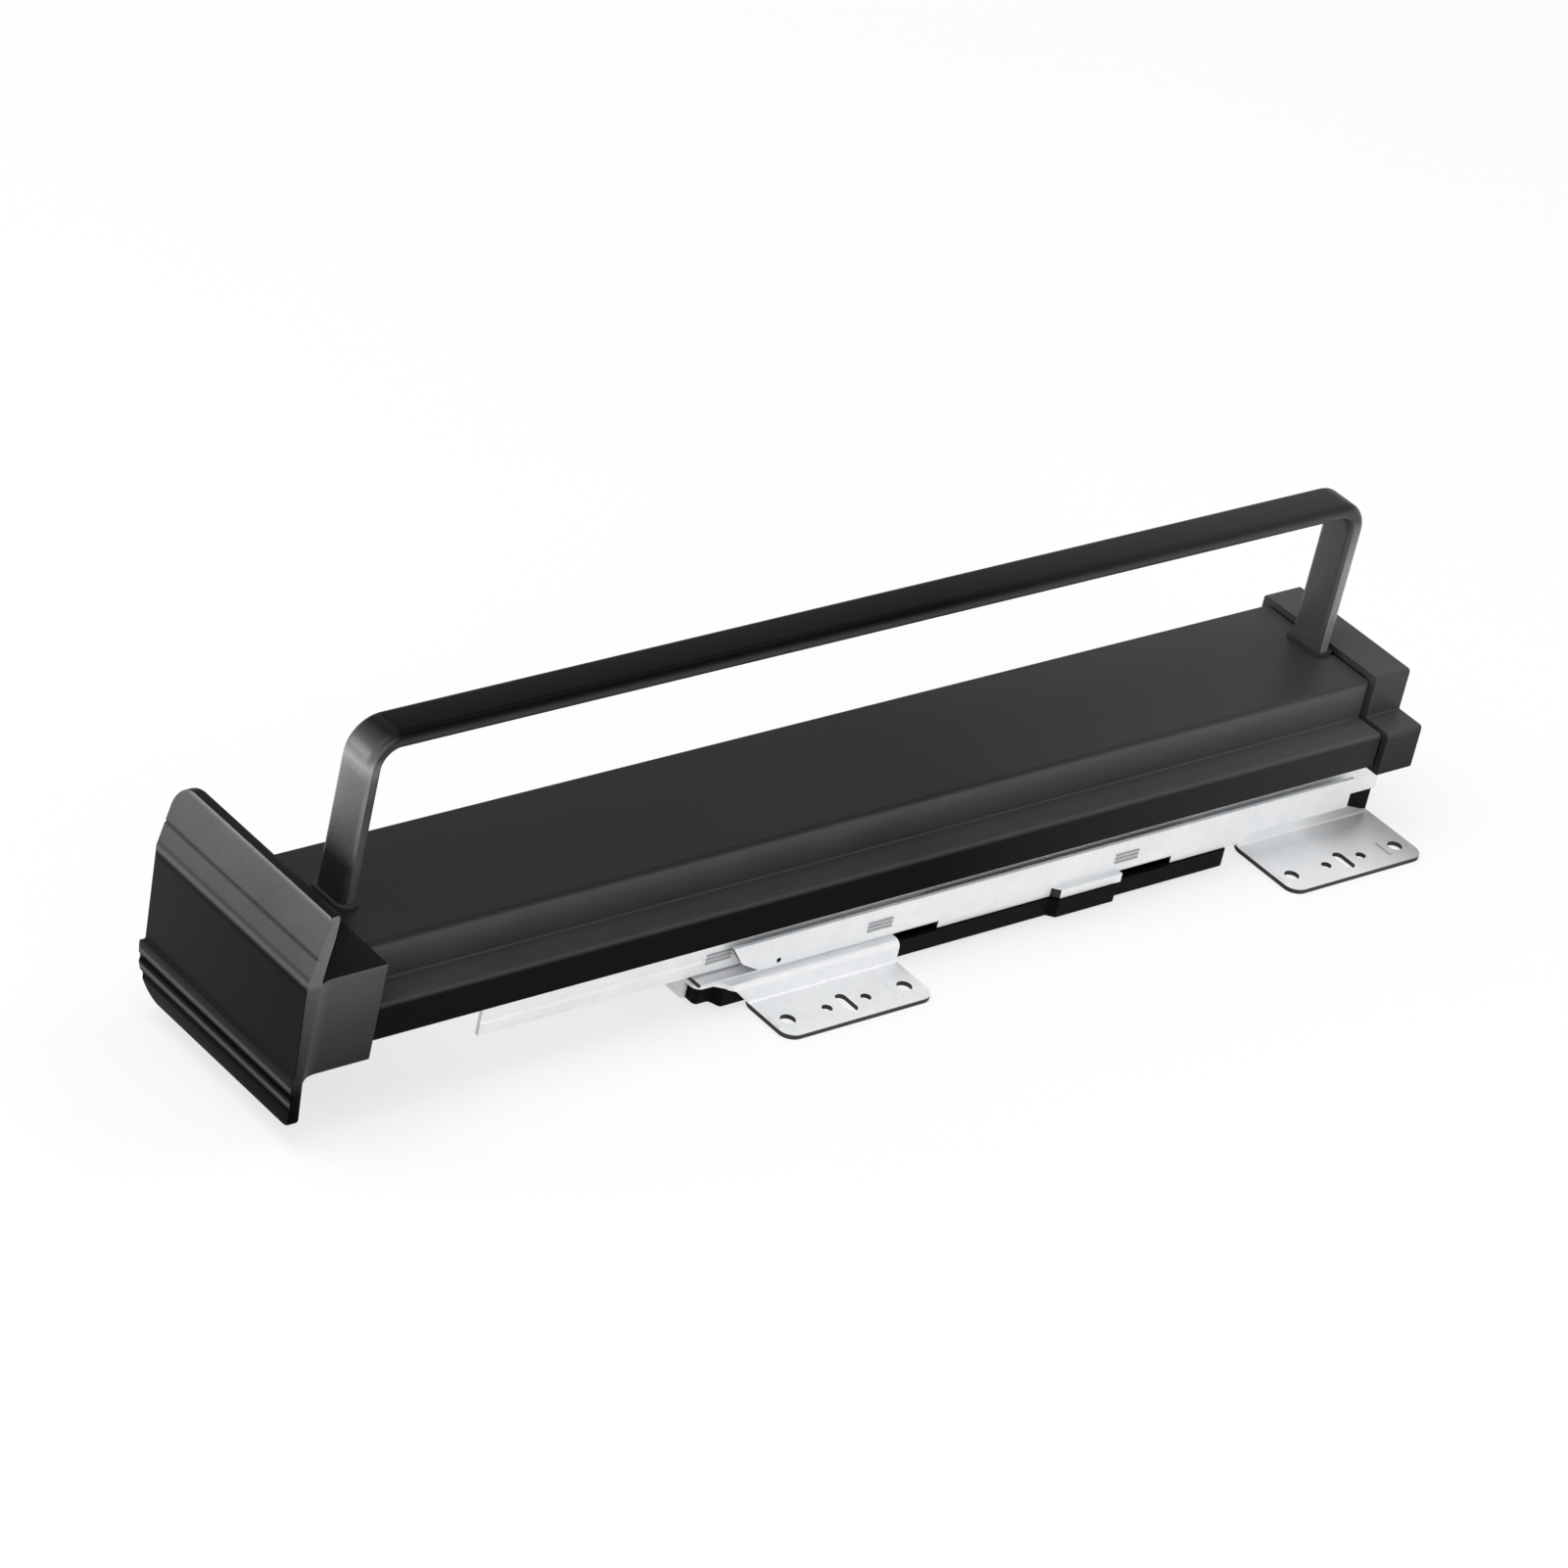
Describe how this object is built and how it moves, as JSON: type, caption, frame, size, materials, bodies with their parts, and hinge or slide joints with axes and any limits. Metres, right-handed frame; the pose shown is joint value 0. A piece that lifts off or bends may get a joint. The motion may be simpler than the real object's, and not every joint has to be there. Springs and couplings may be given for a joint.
{
  "type": "sliding closet rod",
  "caption": "Under-shelf pull-out hanging rail: a flat bar on a black channel that rolls out on ball rails from two screwed plates, with soft closing.",
  "frame": {"origin": "centre of the front plate's four main screws, on the faces that meet the shelf", "axes": "-Y is the way the rod pulls out, X runs across it, +Z leaves the shelf towards the hanging bar. The part stands on its two plates with the bar up, as pictured; under a shelf it is turned over."},
  "size_m": [0.11, 0.4638, 0.1162],
  "materials": {
    "zinc_steel": "galvanised sheet, semi-matt",
    "bright_steel": "zinc plated, bright",
    "black_aluminium": "black, fine matt",
    "black_tube": "black, satin",
    "black_plastic": "moulded, fine texture",
    "panel_plastic": "moulded, satin",
    "rubber": "matt",
    "brass": "rolled strip"
  },
  "bodies": {
    "mounting_frame": {"fixed_rail": "zinc_steel", "front_bracket": "zinc_steel", "rear_bracket": "zinc_steel", "bracket_rivets": "bright_steel", "damper_tray": "black_plastic", "tray_screws": "bright_steel", "damper_cylinder": "black_plastic", "damper_rod": "bright_steel", "closer_spring": "bright_steel", "closer_catch": "black_plastic", "rear_stop": "black_plastic", "stop_buffer": "rubber", "stop_screws": "bright_steel"},
    "carriage": {"housing_channel": "black_aluminium", "front_panel": "panel_plastic", "rear_cap": "panel_plastic", "hanging_bar": "black_tube", "front_grommet": "rubber", "rear_grommet": "rubber", "inner_rail": "zinc_steel", "inner_rail_screws": "bright_steel", "bar_screws": "bright_steel", "panel_screws": "bright_steel", "cap_screws": "bright_steel"},
    "middle_rail": {"middle_rail_lower": "zinc_steel", "middle_rail_upper": "zinc_steel", "middle_rivets": "bright_steel", "closer_striker": "black_plastic"},
    "lower_cage": {"lower_ball_cage": "brass", "lower_balls": "bright_steel"},
    "upper_cage": {"upper_ball_cage": "brass", "upper_balls": "bright_steel"}
  },
  "joints": [
    {"name": "carriage_slide", "type": "slide", "parent": "mounting_frame", "child": "carriage", "axis": [0, -1, 0], "range_m": [0, 0.3]},
    {"name": "middle_slide", "type": "slide", "parent": "mounting_frame", "child": "middle_rail", "axis": [0, -1, 0], "range_m": [0, 0.15]},
    {"name": "lower_cage_slide", "type": "slide", "parent": "mounting_frame", "child": "lower_cage", "axis": [0, -1, 0], "range_m": [0, 0.075]},
    {"name": "upper_cage_slide", "type": "slide", "parent": "mounting_frame", "child": "upper_cage", "axis": [0, -1, 0], "range_m": [0, 0.225]}
  ],
  "couplings": [
    {"joint": "middle_slide", "follows": "carriage_slide", "ratio": 0.5},
    {"joint": "lower_cage_slide", "follows": "carriage_slide", "ratio": 0.25},
    {"joint": "upper_cage_slide", "follows": "carriage_slide", "ratio": 0.75}
  ]
}
